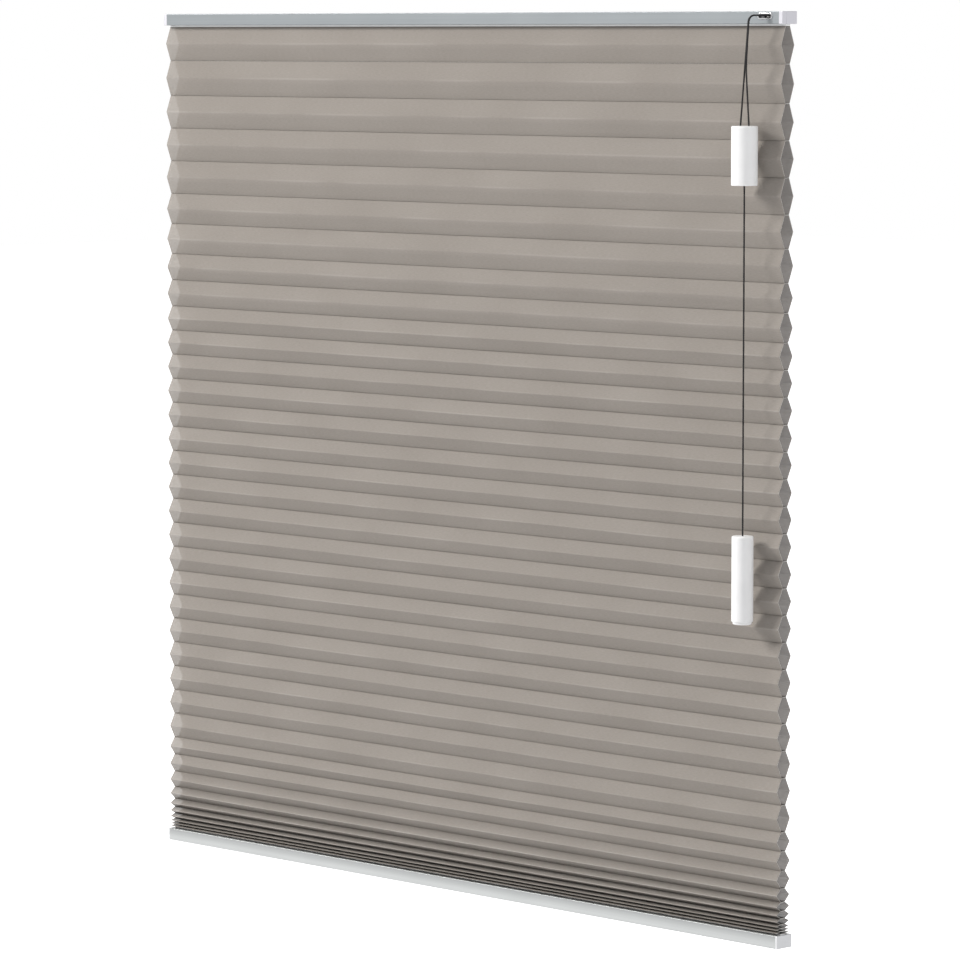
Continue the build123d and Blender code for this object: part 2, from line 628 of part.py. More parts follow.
print("cells", len(cell_heights()), "first", round(cell_heights()[0], 2),
      "last", round(cell_heights()[-1], 2))
print("turning wheel at", [round(v, 2) for v in turn_middle()],
      "cords across at", round(lock_cord_y(-1), 2), round(lock_cord_y(1), 2))
print("grip roller at", [round(v, 2) for v in roller_middle()])
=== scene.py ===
# %% [markdown]
# # A pleated blind
# A cord-operated blind: 37 rows of diamond cells hang between a head rail and a bottom rail. Two
# lift cords leave the head rail at the right, meet in a condenser and go on as one cord to a
# tassel. The construction comes in as a fixed frame, and every piece here is placed from it.

# %% Load the frame
import json
import math
import bpy
import bmesh
from mathutils import Matrix, Vector, noise


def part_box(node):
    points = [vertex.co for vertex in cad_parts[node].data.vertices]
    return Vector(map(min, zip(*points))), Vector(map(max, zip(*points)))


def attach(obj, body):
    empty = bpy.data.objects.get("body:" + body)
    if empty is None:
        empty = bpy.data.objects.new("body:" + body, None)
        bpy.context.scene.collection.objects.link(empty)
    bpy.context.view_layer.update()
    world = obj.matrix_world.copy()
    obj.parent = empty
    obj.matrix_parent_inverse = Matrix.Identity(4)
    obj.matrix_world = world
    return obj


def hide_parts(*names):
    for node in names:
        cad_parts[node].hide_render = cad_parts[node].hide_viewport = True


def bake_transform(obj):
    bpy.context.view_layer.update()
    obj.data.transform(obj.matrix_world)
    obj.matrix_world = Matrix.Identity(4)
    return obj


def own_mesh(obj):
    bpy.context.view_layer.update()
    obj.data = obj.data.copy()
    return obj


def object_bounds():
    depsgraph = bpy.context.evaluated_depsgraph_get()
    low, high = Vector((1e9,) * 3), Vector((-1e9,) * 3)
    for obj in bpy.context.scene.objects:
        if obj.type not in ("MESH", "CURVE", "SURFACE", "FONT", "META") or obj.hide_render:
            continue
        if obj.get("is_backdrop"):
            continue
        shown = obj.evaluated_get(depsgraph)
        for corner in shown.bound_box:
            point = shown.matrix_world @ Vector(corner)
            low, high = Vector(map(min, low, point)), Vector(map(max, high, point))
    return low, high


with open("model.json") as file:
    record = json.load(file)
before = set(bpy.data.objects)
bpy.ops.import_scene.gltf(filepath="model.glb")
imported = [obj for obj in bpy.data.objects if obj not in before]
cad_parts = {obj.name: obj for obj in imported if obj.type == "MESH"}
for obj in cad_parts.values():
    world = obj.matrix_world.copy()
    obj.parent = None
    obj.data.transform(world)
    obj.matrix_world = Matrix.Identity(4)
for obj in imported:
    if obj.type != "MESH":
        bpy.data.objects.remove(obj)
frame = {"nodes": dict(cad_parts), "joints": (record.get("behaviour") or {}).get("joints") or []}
cad_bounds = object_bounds()
print("nodes", len(frame["nodes"]))

# %% [markdown]
# ## The view
# Seen from the front right, a little from above, with a long lens, so that the rails stay almost
# parallel. The point looked at lies near the middle of the blind.

# %% Camera
VIEW_AZIMUTH = math.radians(45.76)
VIEW_ELEVATION = math.radians(5.242)
VIEW_DISTANCE = 5.483
LENS_MM = 181.64
LOOK_AT = Vector((0.0319, 0.0, -0.5266))


def direction(azimuth, elevation):
    """Unit vector from the object towards a viewer."""
    level = math.cos(elevation)
    return Vector((math.sin(azimuth) * level, -math.cos(azimuth) * level, math.sin(elevation)))


towards_camera = direction(VIEW_AZIMUTH, VIEW_ELEVATION)
camera_data = bpy.data.cameras.new("camera")
camera_data.lens = LENS_MM
camera_data.clip_end = 100.0
camera = bpy.data.objects.new("camera", camera_data)
camera.location = LOOK_AT + VIEW_DISTANCE * towards_camera
camera.rotation_euler = (-towards_camera).to_track_quat("-Z", "Y").to_euler()
bpy.context.collection.objects.link(camera)
bpy.context.scene.camera = camera
bpy.context.scene.view_settings.view_transform = "Standard"
print("camera at", [round(v, 3) for v in camera.location])

# %% [markdown]
# ## Helpers for pieces
# Every finished piece sits at the origin, unturned, with its place in its mesh. It rides on the
# body that carries it.

# %% Link a mesh as a piece
def add_piece(name, mesh):
    """An object at the origin that holds the mesh."""
    piece = bpy.data.objects.new(name, mesh)
    bpy.context.collection.objects.link(piece)
    return piece


def finish_mesh(bm, name, sharp_degrees=30):
    """Writes a bmesh to a mesh, smooth but for the edges sharper than the given angle."""
    limit = math.radians(sharp_degrees)
    for face in bm.faces:
        face.smooth = True
    for edge in bm.edges:
        edge.smooth = not edge.is_manifold or edge.calc_face_angle(0) < limit
    mesh = bpy.data.meshes.new(name)
    bm.to_mesh(mesh)
    bm.free()
    return mesh

# %% [markdown]
# ## Cords
# The cord is 2 mm thick, three twisted strands. It is limp, so each free length comes straight out
# of the exit, bends down within a few millimetres and hangs to the condenser. The line is a smooth
# spline through the route's points; the strands are wound round that line.

# %% The cords' routes
RAIL_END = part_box("head_cap_right")[1].x
CORD_LEVEL = 0.0043
CONDENSER_X = 0.4616
CORDS_OUT = 0.028
HOLE_TO_HOLE = 0.0129
KNOT_BELOW = 0.1254

# Each point: in from the rail's end, in front of the middle, below the mounting face. Up to the
# exit the cords lie CORD_LEVEL below it, then they bend down.
INNER_ROUTE = [
    (0.01869, 0.00749, CORD_LEVEL), (0.02894, 0.02121, CORD_LEVEL),
    (0.03103, 0.02403, CORD_LEVEL), (0.03284, 0.02644, 0.00604), (0.03388, 0.02784, 0.00906),
    (0.03421, 0.02784, 0.01255),
]
OUTER_ROUTE = [
    (0.01693, 0.00881, CORD_LEVEL), (0.02718, 0.02253, CORD_LEVEL),
    (0.02927, 0.02535, CORD_LEVEL), (0.03108, 0.02776, 0.00604), (0.03212, 0.02916, 0.00906),
    (0.03238, 0.02916, 0.01255),
    (0.03442, 0.02919, 0.0400), (0.03530, 0.02920, 0.0520),
    (0.03550, 0.02910, 0.0640), (0.03483, 0.02889, 0.0758),
]
print("rail's end at", round(RAIL_END, 4))


def route_points(route, side):
    """A free length's points, down to its knot inside the condenser."""
    points = [Vector((RAIL_END - inset, -out, -below)) for inset, out, below in route]
    knot = Vector((CONDENSER_X + side * HOLE_TO_HOLE / 2, -CORDS_OUT, -KNOT_BELOW))
    return points + [knot]

# %% A smooth line through a route
def smooth_line(name, points):
    """Points of the spline that has the route as its control points."""
    curve = bpy.data.curves.new(name, "CURVE")
    curve.dimensions = "3D"
    curve.resolution_u = 16
    spline = curve.splines.new("NURBS")
    spline.points.add(len(points) - 1)
    for control, place in zip(spline.points, points):
        control.co = (*place, 1.0)
    spline.order_u = 3
    spline.use_endpoint_u = True
    holder = bpy.data.objects.new(name, curve)
    bpy.context.collection.objects.link(holder)
    line_mesh = bpy.data.meshes.new_from_object(holder)
    line = [vertex.co.copy() for vertex in line_mesh.vertices]
    bpy.data.objects.remove(holder)
    bpy.data.curves.remove(curve)
    bpy.data.meshes.remove(line_mesh)
    return line


def line_length(line):
    """Length of a line of points."""
    return sum((b - a).length for a, b in zip(line, line[1:]))


def evenly(line, step):
    """The same line with its points a step apart."""
    count = max(2, round(line_length(line) / step))
    gap = line_length(line) / count
    spaced = [line[0].copy()]
    walked = 0.0
    for a, b in zip(line, line[1:]):
        run = (b - a).length
        while len(spaced) <= count and walked + run >= gap * len(spaced) - 1e-9:
            spaced.append(a.lerp(b, (gap * len(spaced) - walked) / run))
        walked += run
    return spaced

# %% [markdown]
# A twisted cord shows its strands as slanting ridges. Each strand is a thin tube on a helix round
# the line. The helix turns in a frame that is carried along the line without twisting, so that it
# runs evenly through the bends.

# %% Wind three strands round a line
STRANDS = 3
STRAND_RADIUS = 0.00060
STRAND_OFF = 0.00040
TWIST_LENGTH = 0.0058
STRAND_STEP = 0.0007
KNOT_RADIUS = 0.0022


def carried_frames(line):
    """A tangent and a sideways direction at each point, carried along without twisting."""
    frames = []
    tangent = (line[1] - line[0]).normalized()
    side = tangent.orthogonal().normalized()
    for before, after in zip(line, line[1:] + [line[-1] * 2 - line[-2]]):
        new_tangent = (after - before).normalized()
        side = tangent.rotation_difference(new_tangent) @ side
        tangent = new_tangent
        frames.append((tangent, side))
    return frames


def wound_cord(name, line, knots):
    """A cord of twisted strands along a line, with a knot at each given end, as one mesh."""
    spaced = evenly(line, STRAND_STEP)
    curve = bpy.data.curves.new(name, "CURVE")
    curve.dimensions = "3D"
    curve.bevel_depth = STRAND_RADIUS
    curve.bevel_resolution = 1
    curve.use_fill_caps = True
    for strand in range(STRANDS):
        spline = curve.splines.new("POLY")
        spline.points.add(len(spaced) - 1)
        for step, (place, (tangent, side)) in enumerate(zip(spaced, carried_frames(spaced))):
            turn = 2 * math.pi * (step * STRAND_STEP / TWIST_LENGTH + strand / STRANDS)
            off = Matrix.Rotation(turn, 3, tangent) @ side * STRAND_OFF
            spline.points[step].co = (*(place + off), 1.0)
    holder = bpy.data.objects.new(name, curve)
    bpy.context.collection.objects.link(holder)
    mesh = bpy.data.meshes.new_from_object(holder)
    bpy.data.objects.remove(holder)
    bpy.data.curves.remove(curve)
    mesh.name = name
    bm = bmesh.new()
    bm.from_mesh(mesh)
    bmesh.ops.remove_doubles(bm, verts=bm.verts, dist=1e-6)
    for place in knots:
        bmesh.ops.create_icosphere(bm, subdivisions=3, radius=KNOT_RADIUS,
                                   matrix=Matrix.Translation(place))
    bmesh.ops.recalc_face_normals(bm, faces=bm.faces)
    bm.to_mesh(mesh)
    bm.free()
    mesh.shade_smooth()
    return mesh

# %% The free lengths from the exit to the condenser
free_cords = {}
for cord_name, route, side in (("right", INNER_ROUTE, -1), ("left", OUTER_ROUTE, 1)):
    line = smooth_line("route_" + cord_name, route_points(route, side))
    name = "free_cord_" + cord_name
    piece = add_piece(name, wound_cord(name, line, [line[-1]]))
    free_cords[cord_name] = (piece, line)
    print("free cord", cord_name, round(line_length(line) * 1000, 1), "mm,",
          len(piece.data.polygons), "faces")

# %% The single cord to the tassel
pull_low, pull_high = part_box("pull_cord")
pull_x = (pull_low.x + pull_high.x) / 2
pull_y = (pull_low.y + pull_high.y) / 2
pull_start = Vector((pull_x, pull_y, pull_high.z - KNOT_RADIUS))
pull_end = Vector((pull_x, pull_y, pull_low.z + KNOT_RADIUS))
pull_line = smooth_line("route_pull", [pull_start, pull_start.lerp(pull_end, 0.5), pull_end])
single_cord = add_piece("single_cord", wound_cord("single_cord", pull_line,
                                                  [pull_start, pull_end]))
print("single cord", round(line_length(pull_line) * 1000, 1), "mm")

# %% [markdown]
# Each lift cord goes on where nobody looks: back through the exit into the head rail, down through
# the holes of the fabric, to a knot under the bottom strip. These stretches are smooth round cords
# in the construction already, so they are cut from copies of it with planes. Each stretch moves in
# its own way when the blind is raised, and so it is a piece of its own.

# %% Cut a stretch out of a lift cord
CORD_HOLE_X = 0.330
DROP_START = -0.0153
FOOT_START = -0.9848
JOIN_CLOSER = 1e-6


def merged_copy(node):
    """A bmesh copy of a construction mesh with its loose triangles joined."""
    bm = bmesh.new()
    bm.from_mesh(frame["nodes"][node].data)
    bmesh.ops.remove_doubles(bm, verts=bm.verts, dist=JOIN_CLOSER)
    return bm


def keep_side(bm, place, normal):
    """Cuts a closed tube with a plane, keeps the side the normal points to and caps the cut."""
    everything = bm.verts[:] + bm.edges[:] + bm.faces[:]
    cut = bmesh.ops.bisect_plane(bm, geom=everything, dist=JOIN_CLOSER, plane_co=place,
                                 plane_no=normal, clear_inner=True)
    rim = [item for item in cut["geom_cut"] if isinstance(item, bmesh.types.BMEdge)]
    bmesh.ops.edgeloop_fill(bm, edges=rim)


lift_stretches = {}
for cord_name, (free_piece, line) in free_cords.items():
    node = "lift_cord_" + cord_name
    inside = merged_copy(node)
    keep_side(inside, line[0], (0, 1, 0))
    keep_side(inside, (0, 0, DROP_START), (0, 0, 1))
    drop = merged_copy(node)
    keep_side(drop, line[0], (0, 1, 0))
    keep_side(drop, (0, 0, DROP_START), (0, 0, -1))
    keep_side(drop, (0, 0, FOOT_START), (0, 0, 1))
    knot = merged_copy(node)
    keep_side(knot, (0, 0, FOOT_START), (0, 0, -1))
    lift_stretches[cord_name] = [
        add_piece(f"lift_cord_{cord_name}_{part}",
                  finish_mesh(bm, f"lift_cord_{cord_name}_{part}", 40))
        for part, bm in (("inside", inside), ("drop", drop), ("knot", knot))]
    for piece in lift_stretches[cord_name]:
        heights = [round(v.co.z, 4) for v in piece.data.vertices]
        print(piece.name, len(heights), "vertices, heights", min(heights), max(heights))


# %% [markdown]
# ## Fabric
# The fabric is made of closed tubes of thin nonwoven cloth, glued one below the other along flat
# lands. Pressed-in creases make each tube a diamond. The outline of every tube is drawn once at
# the left end as a loop, and all loops are extruded together to the right in steps. Steps give the
# cloth something to be uneven with, and two of them are the sides of the cord's hole.

# %% One tube's outline
FABRIC_TOP = -0.0153
FABRIC_HALF = 0.497
LAND_HALF = 0.00335
CREASE_OUT = 0.0103
GLUE_GAP = 0.00004
BOND_ROUND = 0.0007
CREASE_ROUND = 0.00035
HOLE_HALF = 0.002
HOLE_CORNER = 0.0011
BOND_EDGE = 0.0001
BOND_FOLD = 0.08
ROW_HEIGHTS = [40.2, 41.6, 39.1, 39.1, 39.1, 36.2, 36.2, 31.5, 31.5] + [29.1] * 18 + [
    20.9, 20.9, 19.1, 14.5, 9.8, 8.0, 6.3, 4.2, 3.2, 3.2]
fabric_low, fabric_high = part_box("cell_fabric")
row_scale = (fabric_high.z - fabric_low.z) / sum(ROW_HEIGHTS)
SLOPE_STEPS = 2


def tube_outline(top, bottom):
    """Points (y, z, fold) of a tube's front half from its top land down to its bottom land."""
    land_top = Vector((-LAND_HALF, top - GLUE_GAP))
    crease = Vector((-CREASE_OUT, (top + bottom) / 2))
    land_low = Vector((-LAND_HALF, bottom + GLUE_GAP))
    half = []
    for land in (land_top, land_low):
        way = (crease - land).normalized()
        half.append([(Vector((-LAND_HALF + BOND_ROUND, land.y)), 0.0),
                     (land + Vector((BOND_EDGE, 0)) + way * BOND_EDGE, 0.0),
                     (land + way * BOND_ROUND, BOND_FOLD)]
                    + [(land.lerp(crease, step / (SLOPE_STEPS + 1)), step / (SLOPE_STEPS + 1))
                       for step in range(1, SLOPE_STEPS + 1)]
                    + [(crease - way * CREASE_ROUND, 1.0)])
    front = [(Vector((-HOLE_HALF, land_top.y)), 0.0)] + half[0] + half[1][::-1]
    front.append((Vector((-HOLE_HALF, land_low.y)), 0.0))
    return [(place.x, place.y, fold) for place, fold in front]


tops = [FABRIC_TOP - row_scale * sum(ROW_HEIGHTS[:row]) for row in range(len(ROW_HEIGHTS) + 1)]
print(len(ROW_HEIGHTS), "rows, from", round(tops[0], 4), "down to", round(tops[-1], 4))

# %% [markdown]
# Three values go onto each vertex of the outline, and extruding copies them along: how far it is
# from bond to crease, how far round the tube it is, and its row. The first one places the painted
# highlight on the creases and darkens the bonds, partly for the glue line and partly as painted
# shade, and the second becomes the cloth's own coordinate, so that the weave follows the cloth
# when the blind is raised.

# %% Draw all the outlines and extrude them to the right
STEP_COUNT = 36
CUT_BAND = 0.0010
HOLE_ROOM = 0.006
SAME_PLACE = 1e-5
plain_stations = [-FABRIC_HALF + 2 * FABRIC_HALF * i / STEP_COUNT for i in range(STEP_COUNT + 1)]
hole_stations = [side * CORD_HOLE_X + edge for side in (-1, 1) for edge in (-HOLE_HALF, HOLE_HALF)]
stations = sorted([x for x in plain_stations
                   if all(abs(x - hole) > HOLE_ROOM for hole in hole_stations)]
                  + hole_stations + [CUT_BAND - FABRIC_HALF, FABRIC_HALF - CUT_BAND])

fabric = bmesh.new()
fold_of = fabric.verts.layers.float.new("fold")
girth_of = fabric.verts.layers.float.new("girth")
row_of = fabric.verts.layers.float.new("row")
girths = []
end_edges = []
for row, (top, bottom) in enumerate(zip(tops, tops[1:])):
    front = tube_outline(top, bottom)
    outline = front + [(-y, z, fold) for y, z, fold in reversed(front)]
    ring = []
    walked = 0.0
    for y, z, fold in outline:
        vertex = fabric.verts.new((-FABRIC_HALF, y, z))
        walked += (vertex.co - ring[-1].co).length if ring else 0.0
        vertex[fold_of], vertex[girth_of], vertex[row_of] = fold, walked, float(row)
        ring.append(vertex)
    girths.append(walked + (ring[0].co - ring[-1].co).length)
    end_edges += [fabric.edges.new(pair) for pair in zip(ring, ring[1:] + ring[:1])]
for before, after in zip(stations, stations[1:]):
    grown = bmesh.ops.extrude_edge_only(fabric, edges=end_edges)["geom"]
    new_verts = [item for item in grown if isinstance(item, bmesh.types.BMVert)]
    bmesh.ops.translate(fabric, verts=new_verts, vec=(after - before, 0, 0))
    end_edges = [item for item in grown if isinstance(item, bmesh.types.BMEdge)
                 and all(abs(v.co.x - after) < SAME_PLACE for v in item.verts)]
bmesh.ops.recalc_face_normals(fabric, faces=fabric.faces)

# %% [markdown]
# Each land has a hole where a lift cord passes. Its face is taken out and the four corners of the
# opening are cut off, which makes the hole eight-sided.

# %% Cord holes in the lands
def in_hole(face):
    """True for a land's face between the sides of a cord hole."""
    middle = face.calc_center_median()
    return (abs(abs(middle.x) - CORD_HOLE_X) < HOLE_HALF / 2 and abs(middle.y) < HOLE_HALF / 2)


hole_faces = [face for face in fabric.faces if in_hole(face)]
corners = list({vertex for face in hole_faces for vertex in face.verts})
bmesh.ops.delete(fabric, geom=hole_faces, context="FACES_ONLY")
bmesh.ops.bevel(fabric, geom=corners, offset=HOLE_CORNER, offset_type="OFFSET", affect="VERTICES",
                segments=1, profile=0.5, material=-1)
print("holes", len(hole_faces))

# %% [markdown]
# Pressed cloth is never quite straight. The creases wander by a few tenths of a millimetre, each
# row in its own way, and the slopes between them bow in and out a little. The bonds stay straight,
# because the glue line holds them. The wandering fades out on the low rows, which are packed tight.

# %% Make the cloth uneven
CREASE_WANDER = 0.00045
SLOPE_BOW = 0.00030
FINE_WANDER = 0.00010
CREASE_LIMIT = CREASE_OUT + 0.0003
FULL_WANDER_ROW = 20.0

for vertex in fabric.verts:
    row = vertex[row_of]
    fold = vertex[fold_of]
    room = min(1.0, ROW_HEIGHTS[int(row)] / FULL_WANDER_ROW)
    side = -1.0 if vertex.co.y < 0 else 1.0
    along = vertex.co.x
    wander = noise.noise(Vector((along * 5.0, row * 7.3, side * 3.1)))
    fine = noise.noise(Vector((along * 23.0, row * 4.7, side * 9.4)))
    bow = noise.noise(Vector((along * 4.0, row * 3.7 + vertex.co.z * 25.0, side * 5.3)))
    belly = 4.0 * fold * (1.0 - fold)
    vertex.co.z += room * fold * (CREASE_WANDER * wander + FINE_WANDER * fine)
    vertex.co.y += side * room * (0.6 * fold * CREASE_WANDER * fine + belly * SLOPE_BOW * bow)
    vertex.co.y = max(-CREASE_LIMIT, min(CREASE_LIMIT, vertex.co.y))
print("made uneven", len(fabric.verts), "vertices")

# %% [markdown]
# The cloth's own coordinate runs along X and round each tube, one tube after the other. The faces
# within the last millimetre of either end get the cut edge's finish, and the modifier that gives
# the cloth its thickness puts a third finish on the inside: a darker copy of the cloth, painted
# shade for the inside of the tubes.

# %% Cloth coordinate, edge faces and thickness
CLOTH_THICK = 0.0003
SHADED_INSIDE_FINISH = 1
EDGE_FINISH = 2
uv_of = fabric.loops.layers.uv.new("cloth")
for face in fabric.faces:
    rounds = [loop.vert[girth_of] for loop in face.loops]
    whole = girths[int(face.verts[0][row_of])]
    for loop, round_at in zip(face.loops, rounds):
        if max(rounds) - min(rounds) > whole / 2 and round_at < whole / 2:
            round_at += whole
        loop[uv_of].uv = (loop.vert.co.x, round_at + sum(girths[:int(loop.vert[row_of])]))
for face in fabric.faces:
    at_an_end = all(abs(v.co.x) > FABRIC_HALF - CUT_BAND * 1.1 for v in face.verts)
    face.material_index = EDGE_FINISH if at_an_end else 0
cells = add_piece("cells", finish_mesh(fabric, "cells", 24))
thickness = cells.modifiers.new("cloth thickness", "SOLIDIFY")
thickness.thickness = CLOTH_THICK
thickness.offset = -1.0
thickness.use_even_offset = True
thickness.use_rim = True
thickness.material_offset = SHADED_INSIDE_FINISH
thickness.material_offset_rim = EDGE_FINISH
print("cells", len(cells.data.polygons), "faces before their thickness")

# %% [markdown]
# ## Finishes
# Every finish is made of nodes. Noise that depends on place gives colour, roughness and relief
# that vary as on the real thing. Two small classes keep this readable: one lets a node's output be
# used in sums and products, the other collects the nodes of one finish.

# %% The construction's own plain finishes give way to the ones below
slot_of_node = {node: piece.data.materials[0].name for node, piece in frame["nodes"].items()}
for plain in list(bpy.data.materials):
    bpy.data.materials.remove(plain)
print("finishes to make", sorted(set(slot_of_node.values())))

# %% Sums and products of sockets
class Wire:
    """A node's number output that can be used with + and * and taken from a number."""

    def __init__(self, tree, socket):
        self.tree = tree
        self.socket = socket

    def _math(self, operation, first, second):
        node = self.tree.nodes.new("ShaderNodeMath")
        node.operation = operation
        for slot, value in zip(node.inputs, (first, second)):
            if isinstance(value, Wire):
                self.tree.links.new(value.socket, slot)
            else:
                slot.default_value = value
        return Wire(self.tree, node.outputs[0])

    def __add__(self, other):
        return self._math("ADD", self, other)

    def __rsub__(self, other):
        return self._math("SUBTRACT", other, self)

    def __mul__(self, other):
        return self._math("MULTIPLY", self, other)

    __radd__ = __add__
    __rmul__ = __mul__

# %% One finish and its nodes
class Finish:
    """A material with one main shader; constants go straight onto that shader's sockets."""

    def __init__(self, name, **constants):
        self.material = bpy.data.materials.new(name)
        self.material.use_nodes = True
        self.tree = self.material.node_tree
        self.tree.nodes.clear()
        self.surface = self.tree.nodes.new("ShaderNodeOutputMaterial")
        self.shader = self.node("ShaderNodeBsdfPrincipled",
                                values={key.replace("_", " "): value
                                        for key, value in constants.items()})
        self.tree.links.new(self.shader.outputs[0], self.surface.inputs["Surface"])

    def node(self, kind, settings=None, values=None):
        """Adds a node: first its settings, then the numbers or links of its sockets."""
        node = self.tree.nodes.new(kind)
        for key, value in (settings or {}).items():
            setattr(node, key, value)
        for key, value in (values or {}).items():
            self.join(node.inputs[key], value)
        return node

    def join(self, slot, value):
        """Puts a number, a Wire or a socket on a socket."""
        if isinstance(value, Wire):
            self.tree.links.new(value.socket, slot)
        elif isinstance(value, bpy.types.NodeSocket):
            self.tree.links.new(value, slot)
        else:
            slot.default_value = value

    def place(self, stretch=(1.0, 1.0, 1.0), cloth=False):
        """Where on the piece: its own coordinates in metres, stretched."""
        if cloth:
            source = self.node("ShaderNodeUVMap", {"uv_map": "cloth"}).outputs["UV"]
        else:
            source = self.node("ShaderNodeTexCoord").outputs["Object"]
        return self.node("ShaderNodeMapping",
                         values={"Vector": source, "Scale": stretch}).outputs["Vector"]

    def height(self):
        """How high on the piece, in metres."""
        made = self.node("ShaderNodeSeparateXYZ", values={0: self.place()})
        return Wire(self.tree, made.outputs["Z"])

    def noise(self, place, scale, detail=3.0, rough=0.5):
        """Smooth random numbers round one half."""
        made = self.node("ShaderNodeTexNoise",
                         values={"Vector": place, "Scale": scale, "Detail": detail,
                                 "Roughness": rough})
        return Wire(self.tree, made.outputs["Fac"])

    def attribute(self, name):
        """A number stored on the mesh."""
        made = self.node("ShaderNodeAttribute", {"attribute_name": name})
        return Wire(self.tree, made.outputs["Fac"])

    def clamped(self, wire, low, high):
        """The share of the way that a number is from low to high, kept within 0 and 1."""
        made = self.node("ShaderNodeMapRange", {"clamp": True},
                         {"Value": wire, "From Min": low, "From Max": high})
        return Wire(self.tree, made.outputs["Result"])

    def between(self, first, second, share):
        """A colour between two others."""
        made = self.node("ShaderNodeMix", {"data_type": "RGBA"},
                         {0: share, 6: (*first, 1.0) if isinstance(first, tuple) else first,
                          7: (*second, 1.0) if isinstance(second, tuple) else second})
        return made.outputs[2]

    def relief(self, height, distance, strength=1.0):
        """Tilts the shaded surface as if it had this height, in metres times distance."""
        bump = self.node("ShaderNodeBump", values={"Height": height, "Distance": distance,
                                                   "Strength": strength})
        self.join(self.shader.inputs["Normal"], bump.outputs["Normal"])

# %% [markdown]
# Anodised aluminium profiles come out of a die, and the die leaves fine lines along them. The
# anodised skin over the lines is matt and even. The same recipe with another grey serves the head
# rail, the paler bottom rail and the small rim of the cord exit.

# %% Anodised profiles
def anodised(name, light, dark, roughness, line_scale, shade_heights=None):
    """Satin metal with fine lines along X. Between two heights a profile may get painted shade,
    darker upward.
    """
    finish = Finish(name, Metallic=1.0, Anisotropic=0.25)
    lines = finish.noise(finish.place((3.0, line_scale, line_scale)), 1.0, 4.0, 0.6)
    patches = finish.noise(finish.place(), 14.0, 2.0)
    grains = finish.noise(finish.place(), 3500.0, 2.0)
    share = finish.clamped(lines * 0.65 + patches * 0.35, 0.30, 0.70)
    colour = finish.between(dark, light, share)
    # Painted shade: between the two heights the colour darkens upward to a darker grey.
    if shade_heights:
        colour = finish.between(colour, tuple(part * 0.70 for part in dark),
                                finish.clamped(finish.height(), *shade_heights))
    finish.join(finish.shader.inputs["Base Color"], colour)
    finish.join(finish.shader.inputs["Roughness"],
                roughness - 0.05 + lines * 0.08 + grains * 0.03)
    finish.relief(lines * 0.7 + grains * 0.3, 0.000012, 0.5)
    return finish.material


# The bottom rail gets painted shade towards its top, under the gathered cloth.
FOOT_SHADE_HEIGHTS = (-0.9955, -0.9840)
finishes = {
    "head_metal": anodised("head_metal", (0.335, 0.358, 0.372), (0.290, 0.312, 0.326), 0.56, 900.0),
    "foot_metal": anodised("foot_metal", (0.698, 0.714, 0.713), (0.622, 0.638, 0.637), 0.62, 900.0,
                           shade_heights=FOOT_SHADE_HEIGHTS),
    "exit_metal": anodised("exit_metal", (0.80, 0.81, 0.82), (0.70, 0.71, 0.72), 0.22, 500.0),
}
print("metals", list(finishes))

# %% [markdown]
# Moulded plastic has a fine even grain from the mould, a faint waviness and a soft gloss. The
# colours of the pieces differ, and so does how glossy they are.

# %% Moulded plastics
def moulded(name, colour, roughness, grain=0.00002, tint=0.04, gloss=0.5, milky=0.0):
    """Plastic with a fine grain and a faint unevenness of colour and gloss."""
    finish = Finish(name, IOR=1.49, Specular_IOR_Level=gloss, Subsurface_Weight=milky,
                    Subsurface_Radius=(0.004, 0.004, 0.004), Subsurface_Scale=1.0)
    cloud = finish.noise(finish.place(), 45.0, 3.0)
    grains = finish.noise(finish.place(), 2600.0, 3.0, 0.6)
    wave = finish.noise(finish.place(), 220.0, 1.0)
    darker = tuple(part * (1.0 - tint) for part in colour)
    finish.join(finish.shader.inputs["Base Color"],
                finish.between(darker, colour, finish.clamped(cloud, 0.35, 0.65)))
    finish.join(finish.shader.inputs["Roughness"], roughness - 0.04 + grains * 0.08)
    finish.relief(grains * 0.6 + wave * 0.4, grain, 0.6)
    return finish.material


finishes.update({
    "white_plastic": moulded("white_plastic", (0.86, 0.86, 0.862), 0.60, gloss=0.25,
                             milky=0.4),
    "head_cap_plastic": moulded("head_cap_plastic", (0.64, 0.635, 0.68), 0.42),
    "foot_cap_plastic": moulded("foot_cap_plastic", (0.74, 0.75, 0.765), 0.45),
    "strip_plastic": moulded("strip_plastic", (0.90, 0.90, 0.895), 0.40),
    "inner_plastic": moulded("inner_plastic", (0.055, 0.056, 0.060), 0.45),
    "wheel_plastic": moulded("wheel_plastic", (0.42, 0.42, 0.41), 0.35),
})

# %% [markdown]
# The pins and the grip roller are drawn steel, the ballast bar is rolled steel with a darker skin.

# %% Steels
def steel(name, light, dark, roughness, stretch):
    """Bare steel with lines in one direction and a few darker patches."""
    finish = Finish(name, Metallic=1.0)
    lines = finish.noise(finish.place(stretch), 1.0, 3.0)
    stains = finish.noise(finish.place(), 60.0, 5.0, 0.65)
    finish.join(finish.shader.inputs["Base Color"],
                finish.between(light, dark, finish.clamped(stains, 0.45, 0.70)))
    finish.join(finish.shader.inputs["Roughness"], roughness + stains * 0.15)
    finish.relief(lines, 0.00001, 0.6)
    return finish.material


finishes["pin_steel"] = steel("pin_steel", (0.60, 0.59, 0.57), (0.48, 0.47, 0.45), 0.20,
                              (3000.0, 400.0, 3000.0))
finishes["ballast_steel"] = steel("ballast_steel", (0.36, 0.35, 0.34), (0.20, 0.18, 0.17), 0.35,
                                  (20.0, 1500.0, 1500.0))

# %% [markdown]
# The cord is black polyester. Each strand is a bundle of fine filaments, so it has fine grooves
# and a weak silky shine.

